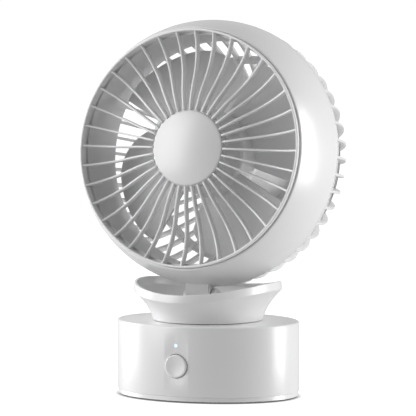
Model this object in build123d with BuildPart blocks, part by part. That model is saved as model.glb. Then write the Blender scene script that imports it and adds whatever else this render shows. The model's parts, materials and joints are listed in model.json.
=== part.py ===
"""Desk fan: an oval base with a push button, a swinging flared neck and a tilting ball-shaped head.

Millimetres. Z is up, the fan faces -Y, X runs across it. The origin is on the table, under the neck's axis.
"""
import math
import os

from build123d import *

os.makedirs("parts", exist_ok=True)

# ---------------------------------------------------------------- base
base_width = 113.0
base_depth = 89.0
base_height = 45.3
base_wall = 2.2
base_top_wall = 2.4
base_edge_radius = 1.2
foot_height = 1.0
plate_thickness = 2.6
plate_inset = 0.5
lip_height = 3.0
lip_wall = 1.5
lip_clearance = 0.15
foot_inset = 14.5
foot_width = 4.5
foot_recess = 0.6
base_screw_inset = 10.0
base_screw_y = 10.0
base_boss_radius = 3.6
ballast_side_inset = 12.5
ballast_end_inset = 16.5
ballast_thickness = 3.0
ballast_boss_gap = 1.0
cut_margin = 2.0

# ---------------------------------------------------------------- screws
screw_radius = 1.1
screw_head_radius = 2.3
screw_head_height = 1.3
screw_grip = 7.0
screw_end_gap = 0.5
small_head_radius = 2.0

# ---------------------------------------------------------------- button, indicator and boards
button_radius = 6.9
button_gap = 0.4
button_height = 21.7
button_proud = 1.2
button_flange = 1.6
button_flange_thickness = 1.4
button_flange_gap = 0.75
button_slack = 0.1
button_stem_radius = 2.4
button_travel = 1.0
button_edge_radius = 0.6
indicator_radius = 0.9
indicator_height = 33.9
indicator_proud = 0.2
board_thickness = 1.6
board_width = 42.0
board_lift = 2.0
board_top_gap = 3.6
switch_size = 6.0
switch_body = 3.4
switch_plunger = 1.2
switch_plunger_radius = 1.6
board_distance = 10.6
board_post_width = 4.0
board_post_wall = 1.6
board_post_height = 8.0

# ---------------------------------------------------------------- charging inlet and cell
inlet_width = 8.9
inlet_height = 3.2
inlet_depth = 7.4
inlet_shell = 0.35
inlet_clearance = 0.3
inlet_recess = 0.4
inlet_back = 1.0
inlet_tongue_inset = 1.3
inlet_tongue_thickness = 0.7
inlet_board_width = 26.0
inlet_board_depth = 8.6
inlet_board_height = 8.0
inlet_board_gap = 1.6
inlet_post_radius = 2.0
cell_radius = 9.2
cell_length = 65.0
cell_inlet_gap = 2.4
cell_cap_radius = 2.8
cell_cap_height = 0.8
tray_wall = 1.4
tray_clearance = 0.2
tray_side_height = 7.0
tray_edge_inset = 2.0

# ---------------------------------------------------------------- swing drive
gear_module = 1.0
gear_teeth = 44
pinion_teeth = 16
tooth_height_factor = 0.85
tooth_root_factor = 1.2
tooth_backlash = 0.16
pressure_angle = math.radians(20.0)
gear_thickness = 6.0
drive_direction = -20.0
motor_radius = 13.0
motor_length = 17.0
motor_ear_offset = 16.0
motor_ear_radius = 3.2
motor_ear_thickness = 1.2
motor_gap_below_gear = 2.2
motor_edge_radius = 0.8
drive_shaft_radius = 2.5
drive_shaft_grip = 4.0
drive_shaft_gap = 1.0
drive_shaft_proud = 0.8
running_clearance = 0.05

# ---------------------------------------------------------------- neck
neck_foot_radius = 33.0
neck_rise_gap = 0.4
neck_wall = 2.2
rim_radius = 44.6
rim_band_height = 4.7
rim_band_lean = 0.6
rim_edge_width = 1.6
rim_rise = 24.0
rim_arch_radius = 170.0
neck_floor_thickness = 2.0
spindle_radius = 12.0
spindle_bore = 9.0
spindle_flange_radius = 22.0
spindle_flange_thickness = 2.0
spindle_end_gap = 1.5
bush_wall = 1.95
bush_flange = 3.0
bush_flange_thickness = 1.2
bush_proud = 0.3
clip_gap = 0.2
clip_thickness = 1.2
clip_groove = 0.8
clip_width = 3.3
clip_mouth = 5.0
gear_below_clip = 1.6
dish_centre_rise = 8.0
dish_curve_radius = 110.0
dish_thickness = 1.6
dish_clearance = 0.1
dish_leg_radius = 2.6
dish_leg_circle = 27.0
dish_leg_rise = 2.2
dish_screw_grip = 4.5
dish_core_radius = 4.0
dish_overreach = 5.0

# ---------------------------------------------------------------- tilt hinge
pivot_y = -8.0
pivot_rise = 13.0
pin_radius = 2.5
pin_head_radius = 4.0
pin_head_thickness = 1.6
lug_width = 15.0
knuckle_radius = 6.4
washer_thickness = 0.5
washer_radius = 6.0
yoke_thickness = 1.6
yoke_ear_width = 14.0
yoke_ear_rise = 6.6
yoke_foot_length = 10.4
yoke_screw_x = 15.0
yoke_slot_margin = 1.2
rear_neck_screw = 11.3
lug_web_front = 8.0
lug_web_depth = 8.6
lug_screw_x = 4.0
lug_screw_forward = 5.0
lug_screw_grip = 4.0
rest_tilt = 8.0

# ---------------------------------------------------------------- head
ball_radius = 80.0
ball_gap = 7.6
ball_lean = 9.86
shell_wall = 1.8
shell_rear = -1.0
duct_radius = 68.4
duct_wall = 1.5
duct_rear = -6.3
duct_flange = 1.5
duct_flange_clearance = 0.6
ring_width = 1.4
ring_overlap = 0.2
ring_proud = 2.5
ring_depth = 6.2
ring_clearance = 0.1
rib_count = 36
rib_thickness = 1.2
rib_depth = 4.6
rib_root = 0.8
rib_dip = 4.9
grille_hub_radius = 23.6
grille_hub_thickness = 3.0
grille_hub_recess = 5.7
cap_radius = 22.3
cap_side = 2.4
cap_crown = 3.2
cap_wall = 1.6
cap_peg_radius = 3.0
cap_peg_length = 4.6

# ---------------------------------------------------------------- rear cover
rear_rib_count = 48
rear_rib_thickness = 1.7
rear_rib_depth = 4.8
rear_ring_thickness = 1.8
rear_ring_gap = 0.4
rear_ring_inset = 0.1
rear_first_ring = -9.0
rear_first_ring_size = 1.3
rear_second_ring = -46.0
rear_second_ring_width = 3.0
rear_ring_recess = 1.8
rear_ring_depth = 2.2
rear_disc_overhang = 3.0
rear_disc_recess = 9.5
rear_rib_root = 1.0
rear_disc_thickness = 2.6
head_boss_gap = 0.3
head_boss_radius = 2.4
head_boss_length = 12.0
head_boss_end = 2.0

# ---------------------------------------------------------------- impeller and motor
hub_radius = 26.0
hub_front = 12.7
hub_rear = -10.0
hub_wall = 1.8
hub_edge_radius = 3.0
blade_count = 4
blade_tip_gap = 4.4
blade_angle = 79.0
blade_phase = 61.0
trailing_start = 0.55
trailing_draw = 0.25
trailing_power = 2.2
leading_end = 0.12
leading_draw = 0.03
blade_thickness = 1.6
blade_root_front = 10.5
blade_root_rear = -6.5
blade_tip_front = 9.0
blade_tip_rear = -9.5
blade_stations = 9
shaft_radius = 1.5
shaft_front = 15.2
shaft_rear = -15.4
nut_radius = 4.0
nut_height = 2.4
rotor_radius = 20.0
rotor_wall = 1.2
rotor_front = 7.0
rotor_rear = -11.0
magnet_thickness = 1.9
magnet_front = 4.0
magnet_rear = -10.0
air_gap = 0.7
stator_front = 2.5
stator_rear = -8.5
stator_slots = 9
stator_slot_width = 3.2
stator_core_radius = 9.0
stator_rim = 1.6
stator_mouth = 1.2
bearing_radius = 4.0
bearing_length = 4.0
bearing_tube_wall = 1.5
bearing_tube_front = 3.0
mount_plate_front = -14.0
mount_plate_thickness = 2.0
mount_front_radius = 18.0
mount_rear_radius = 24.0
mount_wall = 2.0
motor_board_radius = 15.5
motor_board_thickness = 1.2
mount_screw_circle = 14.0
mount_flange_width = 4.0
mount_flange_thickness = 3.0
mount_shaft_gap = 0.8


def chord(radius, along):
    """Distance from the axis of a point on a sphere of this radius, at a place along the axis."""
    return math.sqrt(radius ** 2 - along ** 2)


def sphere_angle(radius, along):
    """Angle from the equator, in degrees, of a point on a sphere at a place along the axis."""
    return math.degrees(math.asin(along / radius))


# ---------------------------------------------------------------- derived heights and planes
base_screw_x = base_width / 2 - base_screw_inset
plate_top = foot_height + plate_thickness
housing_ceiling = base_height - base_top_wall
board_bottom = plate_top + board_lift
board_top = housing_ceiling - board_top_gap
board_y = -(base_depth / 2 - base_wall - board_distance)
inlet_y = base_depth / 2 - base_wall - inlet_board_depth - inlet_board_gap
inlet_middle = inlet_board_height + board_thickness + inlet_height / 2
cell_y = inlet_y - cell_inlet_gap - cell_radius
neck_bottom = base_height + neck_rise_gap
rim_crest_height = base_height + rim_rise
dish_centre_height = base_height + dish_centre_rise
pivot_height = base_height + pivot_rise
bush_top = base_height + bush_proud
bush_bottom = housing_ceiling - bush_flange_thickness
flange_top = bush_top + spindle_flange_thickness
neck_floor_top = flange_top + neck_floor_thickness
clip_top = bush_bottom - clip_gap
gear_top = clip_top - clip_thickness - gear_below_clip
gear_bottom = gear_top - gear_thickness
spindle_bottom = gear_bottom - spindle_end_gap
motor_top = gear_bottom - motor_gap_below_gear
gear_pitch_radius = gear_module * gear_teeth / 2
pinion_pitch_radius = gear_module * pinion_teeth / 2
centre_distance = gear_pitch_radius + pinion_pitch_radius
drive_angle = math.radians(drive_direction)
drive_x = centre_distance * math.cos(drive_angle)
drive_y = centre_distance * math.sin(drive_angle)
motor_ears = [
    (drive_x - side * motor_ear_offset * math.sin(drive_angle),
     drive_y + side * motor_ear_offset * math.cos(drive_angle))
    for side in (-1, 1)
]
base_screws_at = [(x, y) for x in (-base_screw_x, base_screw_x) for y in (-base_screw_y, base_screw_y)]
foot_outline = (base_width / 2 - foot_inset, base_depth / 2 - foot_inset)
foot_hole = (foot_outline[0] - foot_width, foot_outline[1] - foot_width)

tilt = math.radians(rest_tilt)
forward = Vector(0, -math.cos(tilt), math.sin(tilt))
ball_y = pivot_y + (ball_radius + ball_gap) * math.sin(math.radians(ball_lean))
ball_height = pivot_height + (ball_radius + ball_gap) * math.cos(math.radians(ball_lean))
ball_centre = Vector(0, ball_y, ball_height)
head_axis = Axis(ball_centre, forward)
head_plane = Plane(origin=ball_centre, x_dir=(1, 0, 0), z_dir=forward)
head_profile = Plane(origin=ball_centre, x_dir=(1, 0, 0), z_dir=-head_plane.y_dir)
yoke_inner = lug_width / 2 + washer_thickness
yoke_outer = yoke_inner + yoke_thickness
shell_inner = ball_radius - shell_wall
duct_outer = duct_radius + duct_wall
ring_outer = duct_outer + ring_width - ring_overlap
front_plane = chord(ball_radius, ring_outer)
shell_front = front_plane - ring_proud
ring_rear = front_plane - ring_depth
grille_hub_rear = front_plane - grille_hub_recess
cap_seat = grille_hub_rear + grille_hub_thickness
head_screw_circle = duct_outer + head_boss_radius + head_boss_gap
rear_ring_inner = duct_outer + rear_ring_gap
rear_disc_front = rear_disc_recess - ball_radius
rear_disc_rear = rear_disc_front - rear_disc_thickness
rear_disc_radius = chord(ball_radius, rear_disc_rear) + rear_disc_overhang
blade_tip_radius = duct_radius - blade_tip_gap
lug_screw_y = pivot_y - lug_screw_forward
lug_screw_drop = chord(ball_radius, lug_screw_y - ball_y)
lug_screw_down = Vector(0, lug_screw_y - ball_y, -lug_screw_drop).normalized()
lug_screw_seat = Plane(origin=ball_centre + lug_screw_down * shell_inner, x_dir=(1, 0, 0),
                       z_dir=lug_screw_down)


def meridian_planes(count, phase=0.0):
    """Planes through the head's axis: local X points outwards and local Y points forwards."""
    planes = []
    for index in range(count):
        angle = math.radians(phase + 360.0 * index / count)
        outward = head_plane.x_dir * math.cos(angle) + head_plane.y_dir * math.sin(angle)
        planes.append(Plane(origin=ball_centre, x_dir=outward, z_dir=outward.cross(forward)))
    return planes


def sphere_band(outer, inner, front_angle, rear_angle):
    """Closed outline between two concentric arcs, cut off by radial lines."""
    with BuildLine() as outline:
        outer_arc = CenterArc((0, 0), outer, front_angle, rear_angle - front_angle)
        inner_arc = CenterArc((0, 0), inner, front_angle, rear_angle - front_angle)
        Line(outer_arc @ 0, inner_arc @ 0)
        Line(outer_arc @ 1, inner_arc @ 1)
    return outline


def gear_outline(teeth, phase, centre_x=0.0, centre_y=0.0):
    """Corner points of an involute gear, with the middle of one tooth at the phase angle."""
    pitch = gear_module * teeth / 2
    base_circle = pitch * math.cos(pressure_angle)
    tip = pitch + gear_module * tooth_height_factor
    root = pitch - gear_module * tooth_root_factor
    start = max(base_circle, root + 0.05)
    pitch_half = math.pi / (2 * teeth) - tooth_backlash / (4 * pitch)
    involute_at_pitch = math.tan(pressure_angle) - pressure_angle
    flank = [(root, None)] + [(start + (tip - start) * step / 3, True) for step in range(4)]
    points = []
    for tooth in range(teeth):
        middle = math.radians(phase) + 2 * math.pi * tooth / teeth
        half_angles = []
        for radius, on_flank in flank:
            rolled = math.acos(base_circle / max(radius, start) if on_flank else base_circle / start)
            half_angles.append((radius, pitch_half + involute_at_pitch - (math.tan(rolled) - rolled)))
        rising = [(radius, middle - half) for radius, half in half_angles]
        falling = [(radius, middle + half) for radius, half in reversed(half_angles)]
        points += [(centre_x + radius * math.cos(angle), centre_y + radius * math.sin(angle))
                   for radius, angle in rising + falling]
    return points


def rim_top(y):
    """Height of the neck's rim: an arch over each side, lowest at the front and back."""
    return rim_crest_height - y ** 2 / (2 * rim_arch_radius)


def neck_sections():
    """One half outline of the neck for each direction round it: (direction, edge height, top height)."""
    sections = []
    for direction in range(-90, 91, 15):
        top = rim_top(rim_radius * math.sin(math.radians(direction)))
        sections.append((direction, top - rim_band_height, top))
    return sections


def direction_plane(direction):
    """Upright plane through the neck's axis: local X outwards, local Y up."""
    angle = math.radians(direction)
    return Plane(origin=(0, 0, 0), x_dir=(math.cos(angle), math.sin(angle), 0),
                 z_dir=(math.sin(angle), -math.cos(angle), 0))


def flare_points(edge_height, inset):
    """Points up the neck's flared side, from foot to rim edge."""
    spread = rim_radius - neck_foot_radius
    rise = edge_height - neck_bottom
    shape = ((0.0, 0.0), (0.25, 0.125), (0.5, 0.34), (0.75, 0.65), (1.0, 1.0))
    return [(neck_foot_radius - inset + spread * out, neck_bottom + rise * up) for up, out in shape]


# ================================================================ base pieces
with BuildPart() as base_housing:
    with BuildSketch(Plane.XY.offset(plate_top)):
        Ellipse(base_width / 2, base_depth / 2)
    extrude(amount=base_height - plate_top)
    fillet(base_housing.faces().sort_by(Axis.Z)[-1].edges(), radius=base_edge_radius)
    with BuildSketch(Plane.XY.offset(plate_top)):
        Ellipse(base_width / 2 - base_wall, base_depth / 2 - base_wall)
    extrude(amount=housing_ceiling - plate_top, mode=Mode.SUBTRACT)
    with BuildSketch(Plane.XY.offset(plate_top)):
        with Locations(*base_screws_at):
            Circle(base_boss_radius)
    extrude(amount=housing_ceiling - plate_top)
    with BuildSketch(Plane.XY.offset(motor_top)):
        with Locations(*motor_ears):
            Circle(motor_ear_radius)
    extrude(amount=housing_ceiling - motor_top)
    with BuildSketch(Plane.XY.offset(plate_top)):
        with Locations(*base_screws_at):
            Circle(screw_radius)
    extrude(amount=screw_grip, mode=Mode.SUBTRACT)
    with BuildSketch(Plane.XY.offset(motor_top)):
        with Locations(*motor_ears):
            Circle(screw_radius)
    extrude(amount=screw_grip, mode=Mode.SUBTRACT)
    with BuildSketch(Plane.XY.offset(housing_ceiling)):
        Circle(spindle_radius + running_clearance + bush_wall)
    extrude(amount=base_top_wall, mode=Mode.SUBTRACT)
    with BuildSketch(Plane.XZ.offset(base_depth / 2 - base_wall - cut_margin)):
        with Locations((0, button_height)):
            Circle(button_radius + button_gap)
        with Locations((0, indicator_height)):
            Circle(indicator_radius)
    extrude(amount=base_wall + 2 * cut_margin, mode=Mode.SUBTRACT)
    with BuildSketch(Plane.XZ.offset(-base_depth / 2 - cut_margin)):
        with Locations((0, inlet_middle)):
            SlotOverall(inlet_width + 2 * inlet_clearance, inlet_height + 2 * inlet_clearance)
    extrude(amount=base_wall + 2 * cut_margin, mode=Mode.SUBTRACT)

with BuildPart() as base_plate:
    with BuildSketch(Plane.XY.offset(foot_height)):
        Ellipse(base_width / 2 - plate_inset, base_depth / 2 - plate_inset)
    extrude(amount=plate_thickness)
    with BuildSketch(Plane.XY.offset(plate_top)):
        lip_inset = base_wall + lip_clearance
        Ellipse(base_width / 2 - lip_inset, base_depth / 2 - lip_inset)
        Ellipse(base_width / 2 - lip_inset - lip_wall, base_depth / 2 - lip_inset - lip_wall,
                mode=Mode.SUBTRACT)
    extrude(amount=lip_height)
    with BuildSketch(Plane.XY.offset(plate_top)):
        with Locations(*base_screws_at):
            Circle(base_boss_radius + lip_clearance)
    extrude(amount=lip_height, mode=Mode.SUBTRACT)
    with BuildSketch(Plane.XY.offset(foot_height)):
        with Locations(*base_screws_at):
            Circle(screw_radius)
    extrude(amount=plate_thickness, mode=Mode.SUBTRACT)
    with BuildSketch(Plane.XY.offset(foot_height)):
        with Locations(*base_screws_at):
            Circle(screw_head_radius)
    extrude(amount=screw_head_height, mode=Mode.SUBTRACT)
    with BuildSketch(Plane.XY.offset(foot_height)):
        Ellipse(*foot_outline)
        Ellipse(*foot_hole, mode=Mode.SUBTRACT)
    extrude(amount=foot_recess, mode=Mode.SUBTRACT)
    with BuildSketch(Plane.XY.offset(plate_top)):
        for side in (-1, 1):
            board_post_x = board_width / 2 - board_post_width / 2
            with Locations((side * board_post_x, board_y + board_thickness / 2)):
                Rectangle(board_post_width, board_thickness + 2 * board_post_wall)
    extrude(amount=board_post_height)
    with BuildSketch(Plane.XY.offset(board_bottom)):
        with Locations((0, board_y + board_thickness / 2)):
            Rectangle(board_width, board_thickness)
    extrude(amount=board_top - board_bottom, mode=Mode.SUBTRACT)
    with BuildSketch(Plane.XY.offset(plate_top)):
        inlet_post_x = inlet_board_width / 2 - inlet_post_radius
        with Locations(*[(side * inlet_post_x, inlet_y + inlet_board_depth / 2) for side in (-1, 1)]):
            Circle(inlet_post_radius)
    extrude(amount=inlet_board_height - plate_top)

with BuildPart() as rubber_foot:
    with BuildSketch():
        Ellipse(*foot_outline)
        Ellipse(*foot_hole, mode=Mode.SUBTRACT)
    extrude(amount=foot_height + foot_recess)

with BuildPart() as base_screws:
    with BuildSketch(Plane.XY.offset(foot_height)):
        with Locations(*base_screws_at):
            Circle(screw_head_radius)
    extrude(amount=screw_head_height)
    with BuildSketch(Plane.XY.offset(foot_height + screw_head_height)):
        with Locations(*base_screws_at):
            Circle(screw_radius)
    extrude(amount=plate_thickness - screw_head_height + screw_grip - screw_end_gap)

with BuildPart() as ballast_plate:
    with BuildSketch(Plane.XY.offset(plate_top)):
        Ellipse(base_width / 2 - ballast_side_inset, base_depth / 2 - ballast_end_inset)
        with Locations(*base_screws_at):
            Circle(base_boss_radius + ballast_boss_gap, mode=Mode.SUBTRACT)
    extrude(amount=ballast_thickness)

ballast_top = plate_top + ballast_thickness
cell_height = ballast_top + tray_wall + tray_clearance + cell_radius
with BuildPart() as battery_cell:
    with BuildSketch(Plane.YZ.offset(-cell_length / 2)):
        with Locations((cell_y, cell_height)):
            Circle(cell_radius)
    extrude(amount=cell_length)
    with BuildSketch(Plane.YZ.offset(cell_length / 2)):
        with Locations((cell_y, cell_height)):
            Circle(cell_cap_radius)
    extrude(amount=cell_cap_height)

tray_length = cell_length + 2 * (cell_cap_height + tray_clearance + tray_wall)
tray_width = 2 * (cell_radius + tray_clearance - tray_edge_inset)
with BuildPart() as battery_tray:
    with BuildSketch(Plane.XY.offset(ballast_top)):
        with Locations((0, cell_y)):
            Rectangle(tray_length, tray_width)
    extrude(amount=tray_side_height)
    with BuildSketch(Plane.YZ.offset(-tray_length / 2 + tray_wall)):
        with Locations((cell_y, cell_height)):
            Circle(cell_radius + tray_clearance)
    extrude(amount=tray_length - 2 * tray_wall, mode=Mode.SUBTRACT)
    with BuildSketch(Plane.XY.offset(ballast_top + tray_side_height)):
        for side in (-1, 1):
            with Locations((side * (tray_length - tray_wall) / 2, cell_y)):
                Rectangle(tray_wall, tray_width)
    extrude(amount=cell_radius)

with BuildPart() as control_board:
    with BuildSketch(Plane.XY.offset(board_bottom)):
        with Locations((0, board_y + board_thickness / 2)):
            Rectangle(board_width, board_thickness)
    extrude(amount=board_top - board_bottom)

with BuildPart() as button_switch:
    with BuildSketch(Plane.XZ.offset(-board_y)):
        with Locations((0, button_height)):
            Rectangle(switch_size, switch_size)
    extrude(amount=switch_body)
    with BuildSketch(Plane.XZ.offset(-board_y + switch_body)):
        with Locations((0, button_height)):
            Circle(switch_plunger_radius)
    extrude(amount=switch_plunger)

with BuildPart() as indicator_lens:
    with BuildSketch(Plane.XZ.offset(-board_y)):
        with Locations((0, indicator_height)):
            Circle(indicator_radius)
    extrude(amount=base_depth / 2 + board_y + indicator_proud)

with BuildPart() as inlet_board:
    with BuildSketch(Plane.XY.offset(inlet_board_height)):
        with Locations((0, inlet_y + inlet_board_depth / 2)):
            Rectangle(inlet_board_width, inlet_board_depth)
    extrude(amount=board_thickness)

with BuildPart() as charging_socket:
    with BuildSketch(Plane.XZ.offset(inlet_recess - base_depth / 2)):
        with Locations((0, inlet_middle)):
            SlotOverall(inlet_width, inlet_height)
            SlotOverall(inlet_width - 2 * inlet_shell, inlet_height - 2 * inlet_shell, mode=Mode.SUBTRACT)
    extrude(amount=inlet_depth)
    with BuildSketch(Plane.XZ.offset(inlet_recess - base_depth / 2 + inlet_depth - inlet_back)):
        with Locations((0, inlet_middle)):
            SlotOverall(inlet_width, inlet_height)
    extrude(amount=inlet_back)
    with BuildSketch(Plane.XZ.offset(inlet_recess - base_depth / 2 + inlet_back)):
        with Locations((0, inlet_middle)):
            Rectangle(inlet_width - 2 * inlet_tongue_inset, inlet_tongue_thickness)
    extrude(amount=inlet_depth - 1.5 * inlet_back)

motor_bottom = motor_top - motor_length
with BuildPart() as swing_motor:
    with BuildSketch(Plane.XY.offset(motor_bottom)):
        with Locations((drive_x, drive_y)):
            Circle(motor_radius)
    extrude(amount=motor_length)
    fillet(swing_motor.edges().filter_by(GeomType.CIRCLE), radius=motor_edge_radius)
    with BuildSketch(Plane.XY.offset(motor_top - motor_ear_thickness)):
        with Locations(Location((drive_x, drive_y, 0), (0, 0, drive_direction + 90))):
            SlotCenterToCenter(2 * motor_ear_offset, 2 * motor_ear_radius)
    extrude(amount=motor_ear_thickness)
    with BuildSketch(Plane.XY.offset(motor_top - motor_ear_thickness)):
        with Locations(*motor_ears):
            Circle(screw_radius)
    extrude(amount=motor_ear_thickness, mode=Mode.SUBTRACT)
    with BuildSketch(Plane.XY.offset(motor_top)):
        with Locations((drive_x, drive_y)):
            Circle(drive_shaft_radius + running_clearance)
    extrude(amount=-drive_shaft_grip - drive_shaft_gap, mode=Mode.SUBTRACT)

with BuildPart() as motor_screws:
    with BuildSketch(Plane.XY.offset(motor_top - motor_ear_thickness - screw_head_height)):
        with Locations(*motor_ears):
            Circle(screw_head_radius)
    extrude(amount=screw_head_height)
    with BuildSketch(Plane.XY.offset(motor_top - motor_ear_thickness)):
        with Locations(*motor_ears):
            Circle(screw_radius)
    extrude(amount=motor_ear_thickness + screw_grip - screw_end_gap)

with BuildPart() as neck_bush:
    with BuildSketch(Plane.XY.offset(bush_bottom)):
        Circle(spindle_radius + running_clearance + bush_wall + bush_flange)
    extrude(amount=bush_flange_thickness)
    with BuildSketch(Plane.XY.offset(housing_ceiling)):
        Circle(spindle_radius + running_clearance + bush_wall)
    extrude(amount=bush_top - housing_ceiling)
    with BuildSketch(Plane.XY.offset(bush_bottom)):
        Circle(spindle_radius + running_clearance)
    extrude(amount=bush_top - bush_bottom, mode=Mode.SUBTRACT)

# ================================================================ button and pinion
button_front = base_depth / 2 + button_proud
flange_front = base_depth / 2 - base_wall - button_flange_gap
flange_rear = flange_front - button_flange_thickness
stem_end = -board_y + switch_body + switch_plunger + button_travel + button_slack
with BuildPart() as power_button:
    with BuildSketch(Plane.XZ.offset(stem_end)):
        with Locations((0, button_height)):
            Circle(button_stem_radius)
    extrude(amount=flange_rear - stem_end)
    with BuildSketch(Plane.XZ.offset(flange_rear)):
        with Locations((0, button_height)):
            Circle(button_radius + button_flange)
    extrude(amount=button_flange_thickness)
    with BuildSketch(Plane.XZ.offset(flange_front)):
        with Locations((0, button_height)):
            Circle(button_radius)
    extrude(amount=button_front - flange_front)
    fillet(power_button.faces().sort_by(Axis.Y)[0].edges(), radius=button_edge_radius)

pinion_phase = drive_direction + 180.0 + 180.0 / pinion_teeth
with BuildPart() as drive_pinion:
    with BuildSketch(Plane.XY.offset(gear_bottom)):
        with BuildLine():
            Polyline(*gear_outline(pinion_teeth, pinion_phase, drive_x, drive_y), close=True)
        make_face()
    extrude(amount=gear_thickness)
    with BuildSketch(Plane.XY.offset(motor_top - drive_shaft_grip)):
        with Locations((drive_x, drive_y)):
            Circle(drive_shaft_radius)
    extrude(amount=gear_top - motor_top + drive_shaft_grip + drive_shaft_proud)

# ================================================================ neck pieces
with BuildPart() as neck_shell:
    for direction, edge_height, top_height in neck_sections():
        with BuildSketch(direction_plane(direction)):
            with BuildLine():
                outer = Spline(*flare_points(edge_height, 0))
                inner = Spline(*flare_points(edge_height, neck_wall))
                band_top = rim_radius - rim_band_lean
                Polyline(outer @ 1, (band_top, top_height), (band_top - rim_edge_width, top_height),
                         inner @ 1)
                Line(outer @ 0, inner @ 0)
            make_face()
    loft()
    mirror(about=Plane.YZ)
    with BuildSketch(Plane.XY.offset(flange_top)):
        Circle(neck_foot_radius - neck_wall / 2)
        Circle(spindle_bore, mode=Mode.SUBTRACT)
    extrude(amount=neck_floor_thickness)
    neck_screws_at = [(-yoke_screw_x, pivot_y), (yoke_screw_x, pivot_y),
                      (-rear_neck_screw, rear_neck_screw), (rear_neck_screw, rear_neck_screw)]
    with BuildSketch(Plane.XY.offset(flange_top)):
        with Locations(*neck_screws_at):
            Circle(screw_radius)
        with PolarLocations(dish_leg_circle, 3, start_angle=90):
            Circle(screw_radius)
    extrude(amount=neck_floor_thickness, mode=Mode.SUBTRACT)

with BuildPart() as neck_dish:
    for direction, edge_height, top_height in neck_sections():
        with BuildSketch(direction_plane(direction)):
            with BuildLine():
                inner = Spline(*flare_points(edge_height, neck_wall + dish_clearance))
                band_inner = rim_radius - rim_band_lean - rim_edge_width - dish_clearance
                Polyline(inner @ 1, (band_inner, top_height), (dish_core_radius, top_height),
                         (dish_core_radius, neck_bottom), inner @ 0)
            make_face()
    loft()
    mirror(about=Plane.YZ)
    with BuildSketch(Plane.XZ):
        with BuildLine():
            dish_reach = rim_radius + dish_overreach
            dish_rise = dish_curve_radius - chord(dish_curve_radius, dish_reach)
            half_rise = dish_curve_radius - chord(dish_curve_radius, dish_reach / 2)
            dish_arc = ThreePointArc(
                (0, dish_centre_height),
                (dish_reach / 2, dish_centre_height + half_rise),
                (dish_reach, dish_centre_height + dish_rise))
            under_arc = ThreePointArc(
                (0, dish_centre_height - dish_thickness),
                (dish_reach / 2, dish_centre_height - dish_thickness + dish_curve_radius
                 - chord(dish_curve_radius, dish_reach / 2)),
                (dish_reach, dish_centre_height - dish_thickness + dish_rise))
            Line(dish_arc @ 0, under_arc @ 0)
            Line(dish_arc @ 1, under_arc @ 1)
        make_face()
    revolve(axis=Axis.Z, mode=Mode.INTERSECT)
    with BuildSketch(Plane.XY.offset(neck_floor_top)):
        with PolarLocations(dish_leg_circle, 3, start_angle=90):
            Circle(dish_leg_radius)
    extrude(amount=dish_centre_height + dish_leg_rise - neck_floor_top)
    with BuildSketch(Plane.XY.offset(neck_floor_top)):
        with PolarLocations(dish_leg_circle, 3, start_angle=90):
            Circle(screw_radius)
    extrude(amount=dish_screw_grip + screw_end_gap, mode=Mode.SUBTRACT)
    with BuildSketch(Plane.XY.offset(neck_floor_top)):
        with Locations((0, pivot_y)):
            Rectangle(2 * (yoke_outer + yoke_slot_margin), yoke_ear_width + 2 * yoke_slot_margin)
    extrude(amount=rim_rise, mode=Mode.SUBTRACT)

with BuildPart() as dish_screws:
    with BuildSketch(Plane.XY.offset(flange_top - screw_head_height)):
        with PolarLocations(dish_leg_circle, 3, start_angle=90):
            Circle(screw_head_radius)
    extrude(amount=screw_head_height)
    with BuildSketch(Plane.XY.offset(flange_top)):
        with PolarLocations(dish_leg_circle, 3, start_angle=90):
            Circle(screw_radius)
    extrude(amount=neck_floor_thickness + dish_screw_grip)

with BuildPart() as neck_spindle:
    with BuildSketch(Plane.XY.offset(spindle_bottom)):
        Circle(spindle_radius)
    extrude(amount=bush_top - spindle_bottom)
    with BuildSketch(Plane.XY.offset(bush_top)):
        Circle(spindle_flange_radius)
    extrude(amount=spindle_flange_thickness)
    with BuildSketch(Plane.XY.offset(clip_top - clip_thickness)):
        Circle(spindle_radius + cut_margin)
        Circle(spindle_radius - clip_groove, mode=Mode.SUBTRACT)
    extrude(amount=clip_thickness, mode=Mode.SUBTRACT)
    with BuildSketch(Plane.XY.offset(spindle_bottom)):
        Circle(spindle_bore)
    extrude(amount=flange_top - spindle_bottom, mode=Mode.SUBTRACT)
    with BuildSketch(Plane.XY.offset(bush_top)):
        with Locations(*neck_screws_at):
            Circle(screw_radius)
    extrude(amount=spindle_flange_thickness, mode=Mode.SUBTRACT)

with BuildPart() as retaining_clip:
    with BuildSketch(Plane.XY.offset(clip_top - clip_thickness)):
        Circle(spindle_radius - clip_groove + clip_width)
        Circle(spindle_radius - clip_groove, mode=Mode.SUBTRACT)
        with Locations((0, -spindle_radius)):
            Rectangle(clip_mouth, 3 * clip_width, mode=Mode.SUBTRACT)
    extrude(amount=clip_thickness)

with BuildPart() as swing_gear:
    with BuildSketch(Plane.XY.offset(gear_bottom)):
        with BuildLine():
            Polyline(*gear_outline(gear_teeth, drive_direction), close=True)
        make_face()
        Circle(spindle_radius, mode=Mode.SUBTRACT)
    extrude(amount=gear_thickness)

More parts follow.
